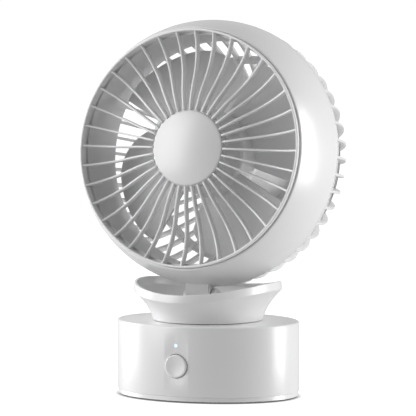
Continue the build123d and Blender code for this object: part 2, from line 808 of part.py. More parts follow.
with BuildPart() as tilt_yoke:
    with BuildSketch(Plane.XY.offset(neck_floor_top)):
        with Locations((0, pivot_y)):
            Rectangle(2 * (yoke_outer + yoke_foot_length), yoke_ear_width)
    extrude(amount=yoke_thickness)
    with BuildSketch(Plane.YZ.offset(-yoke_outer)):
        with BuildLine():
            ear_front = pivot_y - yoke_ear_width / 2
            ear_rear = pivot_y + yoke_ear_width / 2
            ear_arc = ThreePointArc((ear_front, pivot_height), (pivot_y, pivot_height + yoke_ear_rise),
                                    (ear_rear, pivot_height))
            Polyline(ear_arc @ 1, (ear_rear, neck_floor_top), (ear_front, neck_floor_top), ear_arc @ 0)
        make_face()
    extrude(amount=2 * yoke_outer)
    with BuildSketch(Plane.XY.offset(neck_floor_top + yoke_thickness)):
        with Locations((0, pivot_y)):
            Rectangle(2 * yoke_inner, yoke_ear_width + cut_margin)
    extrude(amount=rim_rise, mode=Mode.SUBTRACT)
    with BuildSketch(Plane.YZ.offset(-yoke_outer)):
        with Locations((pivot_y, pivot_height)):
            Circle(pin_radius)
    extrude(amount=2 * yoke_outer, mode=Mode.SUBTRACT)
    with BuildSketch(Plane.XY.offset(neck_floor_top)):
        with Locations((-yoke_screw_x, pivot_y), (yoke_screw_x, pivot_y)):
            Circle(screw_radius)
    extrude(amount=yoke_thickness, mode=Mode.SUBTRACT)

with BuildPart() as neck_screws:
    neck_seats = (neck_floor_top + yoke_thickness,) * 2 + (neck_floor_top,) * 2
    neck_screw_start = bush_top + screw_end_gap / 2
    for place, seat in zip(neck_screws_at, neck_seats):
        with BuildSketch(Plane.XY.offset(seat)):
            with Locations(place):
                Circle(screw_head_radius)
        extrude(amount=screw_head_height)
        with BuildSketch(Plane.XY.offset(neck_screw_start)):
            with Locations(place):
                Circle(screw_radius)
        extrude(amount=seat - neck_screw_start)

with BuildPart() as tilt_pin:
    with BuildSketch(Plane.YZ.offset(-yoke_outer - pin_head_thickness)):
        with Locations((pivot_y, pivot_height)):
            Circle(pin_head_radius)
    extrude(amount=pin_head_thickness)
    with BuildSketch(Plane.YZ.offset(-yoke_outer)):
        with Locations((pivot_y, pivot_height)):
            Circle(pin_radius)
    extrude(amount=2 * yoke_outer)
    with BuildSketch(Plane.YZ.offset(yoke_outer)):
        with Locations((pivot_y, pivot_height)):
            Circle(pin_head_radius)
    extrude(amount=pin_head_thickness)

with BuildPart() as friction_washers:
    for start in (-yoke_inner, lug_width / 2):
        with BuildSketch(Plane.YZ.offset(start)):
            with Locations((pivot_y, pivot_height)):
                Circle(washer_radius)
                Circle(pin_radius, mode=Mode.SUBTRACT)
        extrude(amount=washer_thickness)

# ================================================================ head pieces
with BuildPart() as front_shell:
    with BuildSketch(head_profile):
        with BuildLine():
            lip_radius = ring_outer + ring_clearance
            outer_start = sphere_angle(ball_radius, shell_rear)
            inner_start = sphere_angle(shell_inner, shell_rear)
            outer_arc = CenterArc((0, 0), ball_radius, outer_start,
                                  sphere_angle(ball_radius, shell_front) - outer_start)
            inner_arc = CenterArc((0, 0), shell_inner, inner_start,
                                  sphere_angle(shell_inner, ring_rear) - inner_start)
            Line(outer_arc @ 0, inner_arc @ 0)
            Polyline(inner_arc @ 1, (lip_radius, ring_rear), (lip_radius, shell_front), outer_arc @ 1)
        make_face()
    revolve(axis=head_axis)
    with BuildSketch(lug_screw_seat):
        with Locations((-lug_screw_x, 0), (lug_screw_x, 0)):
            Circle(small_head_radius + ring_clearance)
    extrude(amount=-screw_head_height, mode=Mode.SUBTRACT)
    with BuildSketch(lug_screw_seat):
        with Locations((-lug_screw_x, 0), (lug_screw_x, 0)):
            Circle(screw_radius)
    extrude(amount=shell_wall + cut_margin, mode=Mode.SUBTRACT)

with BuildPart() as duct_ring:
    with BuildSketch(head_profile):
        with BuildLine():
            front_flange = chord(shell_inner, ring_rear) - duct_flange_clearance
            rear_flange = chord(shell_inner, shell_rear + duct_flange) - duct_flange_clearance
            Polyline(
                (duct_radius, duct_rear), (duct_radius, ring_rear), (front_flange, ring_rear),
                (front_flange, ring_rear - duct_flange), (duct_outer, ring_rear - duct_flange),
                (duct_outer, shell_rear + duct_flange),
                (rear_flange, shell_rear + duct_flange), (rear_flange, shell_rear),
                (duct_outer, shell_rear),
                (duct_outer, duct_rear), close=True)
        make_face()
    revolve(axis=head_axis)
    with BuildSketch(head_plane.offset(shell_rear)):
        with PolarLocations(head_screw_circle, 4, start_angle=45):
            Circle(head_boss_radius)
    extrude(amount=head_boss_length)
    with BuildSketch(head_plane.offset(shell_rear)):
        with PolarLocations(head_screw_circle, 4, start_angle=45):
            Circle(screw_radius)
    extrude(amount=head_boss_length - head_boss_end, mode=Mode.SUBTRACT)

with BuildPart() as front_grille:
    with BuildSketch(head_profile):
        with BuildLine():
            Polyline((ring_outer - ring_width, ring_rear), (ring_outer - ring_width, front_plane),
                     (ring_outer, front_plane), (ring_outer, ring_rear), close=True)
        make_face()
    revolve(axis=head_axis)
    with BuildSketch(head_plane.offset(grille_hub_rear)):
        Circle(grille_hub_radius)
    extrude(amount=grille_hub_thickness)
    with BuildSketch(*meridian_planes(rib_count)):
        with BuildLine():
            rib_start = grille_hub_radius - rib_root
            rib_end = ring_outer - ring_width / 2
            rib_span = rib_end - rib_start
            dips = ((0.0, 0.0), (0.25, 0.28), (0.41, 0.71), (0.57, 1.0), (0.72, 0.98), (0.87, 0.66),
                    (1.0, 0.06))
            crest = Spline(*[(rib_start + rib_span * out, front_plane - rib_dip * dip)
                             for out, dip in dips])
            under = Spline(*[(rib_start + rib_span * out, front_plane - rib_depth - rib_dip * dip)
                             for out, dip in dips])
            Line(crest @ 0, under @ 0)
            Line(crest @ 1, under @ 1)
        make_face()
    extrude(amount=rib_thickness / 2, both=True)
    with BuildSketch(head_plane.offset(grille_hub_rear)):
        Circle(cap_peg_radius)
    extrude(amount=grille_hub_thickness, mode=Mode.SUBTRACT)

with BuildPart() as front_cap:
    with BuildSketch(head_profile):
        with BuildLine():
            crown_radius = (cap_radius ** 2 + cap_crown ** 2) / (2 * cap_crown)
            crown_angle = math.degrees(math.acos(cap_radius / crown_radius))
            crown_centre = cap_seat + cap_side + cap_crown - crown_radius
            crown = CenterArc((0, crown_centre), crown_radius, crown_angle, 90 - crown_angle)
            Polyline(crown @ 1, (0, cap_seat - cap_peg_length), (cap_peg_radius, cap_seat - cap_peg_length),
                     (cap_peg_radius, cap_seat + cap_side + cap_crown - cap_wall),
                     (cap_radius - cap_wall, cap_seat + cap_side - cap_wall / 2),
                     (cap_radius - cap_wall, cap_seat),
                     (cap_radius, cap_seat), crown @ 0)
        make_face()
    revolve(axis=head_axis)

with BuildPart() as rear_cover:
    with BuildSketch(head_profile):
        rear_ring_outer = ball_radius - rear_ring_inset
        with Locations(((rear_ring_inner + rear_ring_outer) / 2, shell_rear - rear_ring_thickness / 2)):
            Rectangle(rear_ring_outer - rear_ring_inner, rear_ring_thickness)
        with Locations((chord(ball_radius - rear_ring_recess, rear_first_ring) - rear_ring_depth / 2,
                        rear_first_ring)):
            Rectangle(rear_ring_depth, rear_first_ring_size)
    revolve(axis=head_axis)
    second_angle = sphere_angle(ball_radius, rear_second_ring)
    second_half = math.degrees(rear_second_ring_width / 2 / ball_radius)
    with BuildSketch(head_profile):
        add(sphere_band(ball_radius - rear_ring_recess, ball_radius - rear_ring_recess - rear_ring_depth,
                        second_angle + second_half, second_angle - second_half))
        make_face()
    revolve(axis=head_axis)
    rib_inner = ball_radius - rear_rib_depth
    with BuildSketch(*meridian_planes(rear_rib_count)):
        with BuildLine():
            first_angle = sphere_angle(ball_radius, shell_rear - rear_ring_thickness / 2)
            outer_last = sphere_angle(ball_radius, rear_disc_rear + rear_rib_root)
            inner_last = sphere_angle(rib_inner, rear_disc_front - rear_rib_root)
            outer_arc = CenterArc((0, 0), ball_radius, first_angle, outer_last - first_angle)
            inner_arc = CenterArc((0, 0), rib_inner, first_angle, inner_last - first_angle)
            Line(outer_arc @ 0, inner_arc @ 0)
            Line(outer_arc @ 1, inner_arc @ 1)
        make_face()
    extrude(amount=rear_rib_thickness / 2, both=True)
    with BuildSketch(head_plane.offset(rear_disc_front)):
        Circle(rear_disc_radius)
    extrude(amount=-rear_disc_thickness)
    with BuildSketch(head_plane.offset(rear_disc_rear)):
        with PolarLocations(mount_screw_circle, 3, start_angle=90):
            Circle(screw_head_radius)
    extrude(amount=screw_head_height, mode=Mode.SUBTRACT)
    with BuildSketch(head_plane.offset(rear_disc_rear)):
        with PolarLocations(mount_screw_circle, 3, start_angle=90):
            Circle(screw_radius)
    extrude(amount=rear_disc_thickness, mode=Mode.SUBTRACT)
    with BuildSketch(head_plane.offset(shell_rear)):
        with PolarLocations(head_screw_circle, 4, start_angle=45):
            Circle(screw_radius)
    extrude(amount=-rear_ring_thickness, mode=Mode.SUBTRACT)

with BuildPart() as head_screws:
    with BuildSketch(head_plane.offset(shell_rear - rear_ring_thickness)):
        with PolarLocations(head_screw_circle, 4, start_angle=45):
            Circle(small_head_radius)
    extrude(amount=-screw_head_height)
    with BuildSketch(head_plane.offset(shell_rear - rear_ring_thickness)):
        with PolarLocations(head_screw_circle, 4, start_angle=45):
            Circle(screw_radius)
    extrude(amount=rear_ring_thickness + head_boss_length - head_boss_end - screw_end_gap)

with BuildPart() as motor_mount:
    mount_plate_rear = mount_plate_front - mount_plate_thickness
    tube_outer = bearing_radius + bearing_tube_wall
    with BuildSketch(head_profile):
        with BuildLine():
            Polyline(
                (bearing_radius, bearing_tube_front), (tube_outer, bearing_tube_front),
                (tube_outer, mount_plate_front), (mount_front_radius, mount_plate_front),
                (mount_front_radius, mount_plate_rear), (mount_rear_radius, rear_disc_front),
                (mount_screw_circle - mount_flange_width, rear_disc_front),
                (mount_screw_circle - mount_flange_width, rear_disc_front + mount_flange_thickness),
                (mount_rear_radius - mount_wall, rear_disc_front + mount_flange_thickness),
                (mount_front_radius - mount_wall, mount_plate_rear),
                (shaft_radius + mount_shaft_gap, mount_plate_rear),
                (shaft_radius + mount_shaft_gap, mount_plate_front),
                (bearing_radius, mount_plate_front), close=True)
        make_face()
    revolve(axis=head_axis)
    with BuildSketch(head_plane.offset(rear_disc_front)):
        with PolarLocations(mount_screw_circle, 3, start_angle=90):
            Circle(screw_radius)
    extrude(amount=mount_flange_thickness, mode=Mode.SUBTRACT)

with BuildPart() as mount_screws:
    with BuildSketch(head_plane.offset(rear_disc_rear)):
        with PolarLocations(mount_screw_circle, 3, start_angle=90):
            Circle(screw_head_radius)
    extrude(amount=screw_head_height)
    with BuildSketch(head_plane.offset(rear_disc_rear)):
        with PolarLocations(mount_screw_circle, 3, start_angle=90):
            Circle(screw_radius)
    extrude(amount=rear_disc_thickness + mount_flange_thickness)

magnet_outer = rotor_radius - rotor_wall
stator_radius = magnet_outer - magnet_thickness - air_gap
with BuildPart() as motor_stator:
    with BuildSketch(head_plane.offset(stator_rear)):
        Circle(stator_radius)
        Circle(tube_outer, mode=Mode.SUBTRACT)
        with PolarLocations((stator_core_radius + stator_radius - stator_rim) / 2, stator_slots):
            SlotOverall(stator_radius - stator_core_radius - stator_rim, stator_slot_width,
                        mode=Mode.SUBTRACT)
        with PolarLocations(stator_radius, stator_slots):
            Rectangle(2 * stator_slot_width, stator_mouth, mode=Mode.SUBTRACT)
    extrude(amount=stator_front - stator_rear)

with BuildPart() as motor_bearings:
    with BuildSketch(head_profile):
        for middle in (mount_plate_front + bearing_length / 2, bearing_tube_front - bearing_length / 2):
            with Locations(((bearing_radius + shaft_radius + running_clearance) / 2, middle)):
                Rectangle(bearing_radius - shaft_radius - running_clearance, bearing_length)
    revolve(axis=head_axis)

with BuildPart() as motor_board:
    with BuildSketch(head_plane.offset(mount_plate_front)):
        Circle(motor_board_radius)
        Circle(tube_outer, mode=Mode.SUBTRACT)
    extrude(amount=motor_board_thickness)

with BuildPart() as tilt_lug:
    with BuildSketch(Plane.YZ.offset(-lug_width / 2)):
        with BuildLine():
            web_front = pivot_y - lug_web_front
            web_rear = web_front + lug_web_depth
            web_top = pivot_height + 4 * ball_gap
            Polyline((web_front, web_top), (web_front, pivot_height + knuckle_radius),
                     (pivot_y - knuckle_radius, pivot_height), (pivot_y + knuckle_radius, pivot_height),
                     (web_rear, pivot_height + ball_gap), (web_rear, web_top), close=True)
        make_face()
        with Locations((pivot_y, pivot_height)):
            Circle(knuckle_radius)
    extrude(amount=lug_width)
    with Locations(Location(ball_centre)):
        Sphere(ball_radius, mode=Mode.SUBTRACT)
    with BuildSketch(Plane.YZ.offset(-lug_width / 2)):
        with Locations((pivot_y, pivot_height)):
            Circle(pin_radius + running_clearance)
    extrude(amount=lug_width, mode=Mode.SUBTRACT)
    with BuildSketch(lug_screw_seat):
        with Locations((-lug_screw_x, 0), (lug_screw_x, 0)):
            Circle(screw_radius)
    extrude(amount=shell_wall + lug_screw_grip + screw_end_gap, mode=Mode.SUBTRACT)

with BuildPart() as lug_screws:
    with BuildSketch(lug_screw_seat):
        with Locations((-lug_screw_x, 0), (lug_screw_x, 0)):
            Circle(small_head_radius)
    extrude(amount=-screw_head_height)
    with BuildSketch(lug_screw_seat):
        with Locations((-lug_screw_x, 0), (lug_screw_x, 0)):
            Circle(screw_radius)
    extrude(amount=shell_wall + lug_screw_grip)

# ================================================================ impeller pieces
with BuildPart() as impeller:
    with BuildSketch(head_plane.offset(hub_rear)):
        Circle(hub_radius)
    extrude(amount=hub_front - hub_rear)
    fillet(impeller.faces().sort_by(Axis(ball_centre, forward))[-1].edges(), radius=hub_edge_radius)
    with BuildSketch(head_plane.offset(hub_rear)):
        Circle(hub_radius - hub_wall)
    extrude(amount=hub_front - hub_rear - hub_wall, mode=Mode.SUBTRACT)
    with BuildSketch(head_plane.offset(rotor_front)):
        Circle(nut_radius)
    extrude(amount=hub_front - rotor_front)
    with BuildSketch(head_plane.offset(rotor_front)):
        Circle(shaft_radius)
    extrude(amount=hub_front - rotor_front, mode=Mode.SUBTRACT)


def blade_outline(fraction):
    """Four corners (distance out, place along) of one blade, a fraction of the way round from its front."""
    trailing = max(0.0, (fraction - trailing_start) / (1 - trailing_start))
    leading = max(0.0, (leading_end - fraction) / leading_end)
    tip = blade_tip_radius * (1 - trailing_draw * trailing ** trailing_power - leading_draw * leading)
    root_place = blade_root_front + (blade_root_rear - blade_root_front) * fraction
    tip_place = blade_tip_front + (blade_tip_rear - blade_tip_front) * fraction
    root = hub_radius - hub_wall / 2
    half = blade_thickness / 2
    return [(root, root_place - half), (root, root_place + half), (tip, tip_place + half / 2),
            (tip, tip_place - half / 2)]


for blade in range(blade_count):
    front_edge = blade_phase + blade * 360.0 / blade_count
    with BuildPart() as one_blade:
        for station in range(blade_stations):
            share = station / (blade_stations - 1)
            turn = front_edge - blade_angle * share
            with BuildSketch(*meridian_planes(1, turn)):
                Polygon(*blade_outline(share), align=None)
        loft()
    with impeller:
        add(one_blade.part)

with BuildPart() as rotor_cup:
    with BuildSketch(head_plane.offset(rotor_rear)):
        Circle(rotor_radius)
    extrude(amount=rotor_front - rotor_rear)
    with BuildSketch(head_plane.offset(rotor_rear)):
        Circle(rotor_radius - rotor_wall)
    extrude(amount=rotor_front - rotor_rear - rotor_wall, mode=Mode.SUBTRACT)
    with BuildSketch(head_plane.offset(rotor_rear)):
        Circle(shaft_radius)
    extrude(amount=rotor_front - rotor_rear, mode=Mode.SUBTRACT)

with BuildPart() as rotor_magnet:
    with BuildSketch(head_plane.offset(magnet_rear)):
        Circle(magnet_outer)
        Circle(magnet_outer - magnet_thickness, mode=Mode.SUBTRACT)
    extrude(amount=magnet_front - magnet_rear)

with BuildPart() as motor_shaft:
    with BuildSketch(head_plane.offset(shaft_rear)):
        Circle(shaft_radius)
    extrude(amount=shaft_front - shaft_rear)

with BuildPart() as shaft_nut:
    with BuildSketch(head_plane.offset(hub_front)):
        RegularPolygon(nut_radius, 6)
        Circle(shaft_radius, mode=Mode.SUBTRACT)
    extrude(amount=nut_height)

# ================================================================ files
pieces = {
    "base_housing": base_housing, "base_plate": base_plate, "rubber_foot": rubber_foot,
    "base_screws": base_screws, "ballast_plate": ballast_plate, "battery_cell": battery_cell,
    "battery_tray": battery_tray, "control_board": control_board, "button_switch": button_switch,
    "indicator_lens": indicator_lens, "inlet_board": inlet_board, "charging_socket": charging_socket,
    "swing_motor": swing_motor, "motor_screws": motor_screws, "neck_bush": neck_bush,
    "power_button": power_button, "drive_pinion": drive_pinion,
    "neck_shell": neck_shell, "neck_dish": neck_dish, "dish_screws": dish_screws,
    "neck_spindle": neck_spindle, "retaining_clip": retaining_clip, "swing_gear": swing_gear,
    "tilt_yoke": tilt_yoke, "neck_screws": neck_screws, "tilt_pin": tilt_pin,
    "friction_washers": friction_washers,
    "front_shell": front_shell, "duct_ring": duct_ring, "front_grille": front_grille,
    "front_cap": front_cap, "rear_cover": rear_cover, "head_screws": head_screws,
    "motor_mount": motor_mount, "mount_screws": mount_screws, "motor_stator": motor_stator,
    "motor_bearings": motor_bearings, "motor_board": motor_board, "tilt_lug": tilt_lug,
    "lug_screws": lug_screws,
    "impeller": impeller, "rotor_cup": rotor_cup, "rotor_magnet": rotor_magnet,
    "motor_shaft": motor_shaft, "shaft_nut": shaft_nut,
}
for label, piece in pieces.items():
    piece.part.label = label
    export_step(piece.part, f"parts/{label}.step")
    print(label, len(piece.part.solids()), round(piece.part.volume, 1))
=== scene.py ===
import json
import math
import bmesh
import bpy
from mathutils import Matrix, Vector


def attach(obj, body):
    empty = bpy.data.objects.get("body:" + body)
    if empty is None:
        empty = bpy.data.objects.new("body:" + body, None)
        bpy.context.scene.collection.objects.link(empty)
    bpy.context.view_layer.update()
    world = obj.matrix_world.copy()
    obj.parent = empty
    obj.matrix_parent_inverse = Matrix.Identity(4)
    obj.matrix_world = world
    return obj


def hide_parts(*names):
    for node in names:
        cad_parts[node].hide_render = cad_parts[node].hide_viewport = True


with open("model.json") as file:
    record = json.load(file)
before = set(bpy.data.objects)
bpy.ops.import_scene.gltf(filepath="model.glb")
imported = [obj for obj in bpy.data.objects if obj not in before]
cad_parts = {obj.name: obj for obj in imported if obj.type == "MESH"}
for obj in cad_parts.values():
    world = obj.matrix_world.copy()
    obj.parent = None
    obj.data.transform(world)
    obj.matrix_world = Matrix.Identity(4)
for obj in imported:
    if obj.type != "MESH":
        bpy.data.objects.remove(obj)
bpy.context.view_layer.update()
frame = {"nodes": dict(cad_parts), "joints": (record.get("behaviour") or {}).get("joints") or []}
nodes = frame["nodes"]
mm = 0.001
tiny = 1e-7        # metres: nearer than this is the same point
close = 0.05 * mm  # how near an edge lies to a level to be on it

# the head turns about the fan's own axis, so its pieces are shaped upright and then laid along it
fanJoint = next(joint for joint in frame["joints"] if joint["name"] == "fan_spin")
ballCentre = Vector(fanJoint["pos_m"])
forward = Vector(fanJoint["axis"]).normalized()
across = Vector((1, 0, 0))
upward = forward.cross(across)
headTurn = Matrix.Translation(ballCentre) @ Matrix((across, upward, forward)).transposed().to_4x4()
upright = Matrix.Identity(4)


def addNode(tree, kind, **values):
    # a value is one of the node's settings, or else one of its inputs
    node = tree.nodes.new(kind)
    for name, value in values.items():
        if hasattr(node, name):
            setattr(node, name, value)
        else:
            node.inputs[name.replace("_", " ")].default_value = value
    return node


# what a finish has unless it says otherwise
usualLook = dict(drift=0.97, driftScale=22.0, patchScale=60.0, smoother=0.86, rougher=1.16, grain=0.05,
                 grainScale=2600.0, grainDepth=0.2 * mm, metallic=0.0, specular=0.5, coat=0.0,
                 coatRoughness=0.15)

finishes = {
    "satinWhite": dict(colour=(0.80, 0.80, 0.805), roughness=0.34, specular=0.7, coat=0.6,
                       coatRoughness=0.22, grain=0.03),
    # darker than the shell: light grey for the inner mouldings, and painted shade on the tilt lug, which
    # stands in shadow between the yoke's ears
    "innerGreyAndLugShade": dict(colour=(0.70, 0.70, 0.705), roughness=0.42, specular=0.4),
    "bladeWhite": dict(colour=(0.80, 0.80, 0.805), roughness=0.35, grain=0.03),
    "darkRubber": dict(colour=(0.03, 0.03, 0.032), roughness=0.75, grain=0.2, grainScale=1500.0),
    "zincSteel": dict(colour=(0.60, 0.61, 0.63), roughness=0.32, metallic=1.0, grain=0.08, drift=0.85),
    "pressedSteel": dict(colour=(0.52, 0.53, 0.55), roughness=0.42, metallic=1.0, grain=0.1, drift=0.85),
    "boardGreen": dict(colour=(0.03, 0.18, 0.07), roughness=0.35, coat=0.5, drift=0.8),
    "blackPlastic": dict(colour=(0.025, 0.025, 0.027), roughness=0.45, grain=0.12),
    "cellSleeve": dict(colour=(0.05, 0.20, 0.38), roughness=0.3, coat=0.4, drift=0.9),
    "litLens": dict(colour=(0.75, 0.85, 1.0), roughness=0.15, glow=(0.35, 0.6, 1.0), glowStrength=1.3),
    "platedInlet": dict(colour=(0.72, 0.73, 0.75), roughness=0.22, metallic=1.0, grain=0.04, drift=0.9),
    "acetal": dict(colour=(0.72, 0.70, 0.64), roughness=0.45, grain=0.06),
    "motorIron": dict(colour=(0.16, 0.16, 0.17), roughness=0.5, metallic=0.7, grain=0.25,
                      grainScale=900.0, drift=0.7),
}


def makeFinish(name, ownLook):
    look = usualLook | ownLook
    material = bpy.data.materials.new(name)
    material.use_nodes = True
    tree = material.node_tree
    shader = tree.nodes["Principled BSDF"]
    place = addNode(tree, "ShaderNodeTexCoord").outputs["Object"]

    # slow drift of the colour over the moulding
    drift = addNode(tree, "ShaderNodeTexNoise", Scale=look["driftScale"], Detail=3.0)
    tree.links.new(place, drift.inputs["Vector"])
    tint = addNode(tree, "ShaderNodeMix", data_type="RGBA")
    dark = [channel * look["drift"] for channel in look["colour"]]
    tint.inputs["A"].default_value = (*look["colour"], 1)
    tint.inputs["B"].default_value = (*dark, 1)
    tree.links.new(drift.outputs["Fac"], tint.inputs["Factor"])
    tree.links.new(tint.outputs["Result"], shader.inputs["Base Color"])

    # handled patches are a little smoother than the rest
    patches = addNode(tree, "ShaderNodeTexNoise", Scale=look["patchScale"], Detail=5.0, Roughness=0.6)
    tree.links.new(place, patches.inputs["Vector"])
    gloss = addNode(tree, "ShaderNodeMapRange")
    gloss.inputs["To Min"].default_value = look["roughness"] * look["smoother"]
    gloss.inputs["To Max"].default_value = look["roughness"] * look["rougher"]
    tree.links.new(patches.outputs["Fac"], gloss.inputs["Value"])
    tree.links.new(gloss.outputs["Result"], shader.inputs["Roughness"])

    # fine spark texture of the mould
    grain = addNode(tree, "ShaderNodeTexNoise", Scale=look["grainScale"], Detail=2.0)
    tree.links.new(place, grain.inputs["Vector"])
    bump = addNode(tree, "ShaderNodeBump", Strength=look["grain"], Distance=look["grainDepth"])
    tree.links.new(grain.outputs["Fac"], bump.inputs["Height"])
    tree.links.new(bump.outputs["Normal"], shader.inputs["Normal"])

    shader.inputs["Metallic"].default_value = look["metallic"]
    shader.inputs["Specular IOR Level"].default_value = look["specular"]
    shader.inputs["Coat Weight"].default_value = look["coat"]
    shader.inputs["Coat Roughness"].default_value = look["coatRoughness"]
    if "glow" in look:
        shader.inputs["Emission Color"].default_value = (*look["glow"], 1)
        shader.inputs["Emission Strength"].default_value = look["glowStrength"]
    return material


finish = {name: makeFinish(name, look) for name, look in finishes.items()}
print("finishes:", len(finish))


def spinProfile(profile, turn=upright, steps=160):
    # an outline of (radius, height) points, turned all the way round
    bm = bmesh.new()
    verts = [bm.verts.new((radius, 0, height)) for radius, height in profile]
    for first, second in zip(verts, verts[1:] + verts[:1]):
        if first.co.x > tiny or second.co.x > tiny:  # no edge along the axis
            bm.edges.new((first, second))
    bmesh.ops.spin(bm, geom=bm.verts[:] + bm.edges[:], cent=(0, 0, 0), axis=(0, 0, 1),
                   angle=math.tau, steps=steps, use_merge=True)
    bmesh.ops.remove_doubles(bm, verts=bm.verts, dist=tiny)
    bmesh.ops.recalc_face_normals(bm, faces=bm.faces)
    bm.transform(turn)
    return bm


def arcPoints(radius, start, end, count, centre=0.0):
    # points of a circle about the axis, from one height to another
    first, last = math.asin((start - centre) / radius), math.asin((end - centre) / radius)
    angles = [first + (last - first) * step / (count - 1) for step in range(count)]
    return [(radius * math.cos(angle), centre + radius * math.sin(angle)) for angle in angles]


def lowest(edge):
    return min(v.co.z for v in edge.verts)


def highest(edge):
    return max(v.co.z for v in edge.verts)


def sharpEdges(bm, angle=32.0, keep=lambda edge: True):
    limit = math.radians(angle)
    return [edge for edge in bm.edges
            if len(edge.link_faces) == 2 and edge.calc_face_angle(0) > limit and keep(edge)]


def roundEdges(bm, edges, size, segments=3):
    bmesh.ops.bevel(bm, geom=edges, offset=size, segments=segments, affect="EDGES", profile=0.5,
                    material=-1, clamp_overlap=True)


def joinShapes(bm, *parts):
    for part in parts:
        mesh = bpy.data.meshes.new("joined")
        part.to_mesh(mesh)
        part.free()
        bm.from_mesh(mesh)


def finishPiece(bm, name, body, look, replaced, smooth=35.0):
    bmesh.ops.remove_doubles(bm, verts=bm.verts, dist=tiny)
    mesh = bpy.data.meshes.new(name)
    bm.to_mesh(mesh)
    bm.free()
    piece = bpy.data.objects.new(name, mesh)
    bpy.context.scene.collection.objects.link(piece)
    mesh.shade_smooth()
    mesh.set_sharp_from_angle(angle=math.radians(smooth))
    mesh.materials.append(finish[look])
    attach(piece, body)
    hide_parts(*replaced)
    return piece


def cutShape(bm, cutter):
    # takes the cutter's shape out of a closed shape
    body = bpy.data.objects.new("cutBody", bpy.data.meshes.new("cutBody"))
    tool = bpy.data.objects.new("cutTool", bpy.data.meshes.new("cutTool"))
    bm.to_mesh(body.data)
    cutter.to_mesh(tool.data)
    bpy.context.scene.collection.objects.link(body)
    bpy.context.scene.collection.objects.link(tool)
    cut = body.modifiers.new("cut", "BOOLEAN")
    cut.operation, cut.solver, cut.object = "DIFFERENCE", "EXACT", tool
    graph = bpy.context.evaluated_depsgraph_get()
    result = bpy.data.meshes.new_from_object(body.evaluated_get(graph))
    bm.free()
    cutter.free()
    bpy.data.objects.remove(body)
    bpy.data.objects.remove(tool)
    done = bmesh.new()
    done.from_mesh(result)
    return done


base = dict(width=113.0 * mm, depth=89.0 * mm, height=45.3 * mm, segments=224,
            floor=3.6 * mm, wall=2.2 * mm, topWall=2.4 * mm, neckHole=14.0 * mm,
            topEdge=1.2 * mm, bottomEdge=0.35 * mm, holeEdge=0.22 * mm,
            buttonHole=7.3 * mm, buttonHeight=21.7 * mm, buttonReach=8.2 * mm, buttonBand=1.2 * mm,
            lampHole=0.9 * mm, lampHeight=33.9 * mm,
            inletWidth=9.5 * mm, inletHeight=3.8 * mm, inletLevel=11.2 * mm, inletReach=3.0 * mm,
            inletBand=1.0 * mm, drill=10.0 * mm)


def makeBaseCutter(halfY):
    # the holes for the button and the lamp at the front, and the slot for the inlet at the back
    cutter = bmesh.new()
    sideways = Matrix.Rotation(math.pi / 2, 4, "X")
    frontHoles = ((base["buttonHole"], base["buttonHeight"]), (base["lampHole"], base["lampHeight"]))
    for radius, height in frontHoles:
        placed = Matrix.Translation((0, -halfY, height)) @ sideways
        bmesh.ops.create_cone(cutter, cap_ends=True, segments=72, radius1=radius, radius2=radius,
                              depth=base["drill"], matrix=placed)
    radius = base["inletHeight"] / 2
    stretch = base["inletWidth"] / 2 - radius
    placed = Matrix.Translation((0, halfY, base["inletLevel"])) @ sideways
    slot = bmesh.ops.create_cone(cutter, cap_ends=True, segments=48, radius1=radius, radius2=radius,
                                 depth=base["drill"], matrix=placed)["verts"]
    for v in slot:
        v.co.x += stretch if v.co.x > 0 else -stretch
    return cutter


def makeBase():
    bm = bmesh.new()
    halfX, halfY = base["width"] / 2, base["depth"] / 2
    hole, top, ceiling = base["neckHole"], base["height"], base["height"] - base["topWall"]
    innerX, innerY = halfX - base["wall"], halfY - base["wall"]
    bmesh.ops.create_circle(bm, segments=base["segments"], radius=1.0)
    bmesh.ops.scale(bm, vec=(halfX, halfY, 1), verts=bm.verts)
    bmesh.ops.translate(bm, vec=(0, 0, base["floor"]), verts=bm.verts)
    start = bm.edges[:]
    # up the outside, in to the neck's hole, through the top, out under it and down the inside
    stages = [(1, 1, top), (hole / halfX, hole / halfY, top), (1, 1, ceiling),
              (innerX / hole, innerY / hole, ceiling), (1, 1, base["floor"])]
    rim, level = start, base["floor"]
    for growX, growY, height in stages:
        grown = bmesh.ops.extrude_edge_only(bm, edges=rim)["geom"]
        verts = [item for item in grown if isinstance(item, bmesh.types.BMVert)]
        rim = [item for item in grown if isinstance(item, bmesh.types.BMEdge)]
        bmesh.ops.scale(bm, vec=(growX, growY, 1), verts=verts)
        bmesh.ops.translate(bm, vec=(0, 0, height - level), verts=verts)
        level = height
    bmesh.ops.bridge_loops(bm, edges=start + rim)
    bmesh.ops.recalc_face_normals(bm, faces=bm.faces)

    def onOutside(edge, height):
        return all(abs(v.co.z - height) < close and math.hypot(v.co.x / halfX, v.co.y / halfY) > 0.99
                   for v in edge.verts)

    roundEdges(bm, sharpEdges(bm, 60, lambda edge: onOutside(edge, top)), base["topEdge"], 6)
    roundEdges(bm, sharpEdges(bm, 60, lambda edge: onOutside(edge, base["floor"])), base["bottomEdge"], 3)
    bm = cutShape(bm, makeBaseCutter(halfY))

    def onHole(edge):
        mid = (edge.verts[0].co + edge.verts[1].co) / 2
        fromButton = math.hypot(mid.x, mid.z - base["buttonHeight"])
        front = mid.y < -halfY + base["buttonBand"] and fromButton < base["buttonReach"]
        back = mid.y > halfY - base["inletBand"] and abs(mid.z - base["inletLevel"]) < base["inletReach"]
        return front or back

    roundEdges(bm, sharpEdges(bm, 50, onHole), base["holeEdge"], 2)
    return finishPiece(bm, "baseShell", "base", "satinWhite", ["base_housing"])


makeBase()
print("base done")

button = dict(radius=6.9 * mm, front=45.7 * mm, dish=0.5 * mm, dishRadius=5.9 * mm, edge=0.55 * mm,
              flange=8.4 * mm, flangeFront=41.4 * mm, flangeBack=40.0 * mm,
              stem=2.4 * mm, stemBack=35.9 * mm, dishSteps=8, edgeSteps=4)


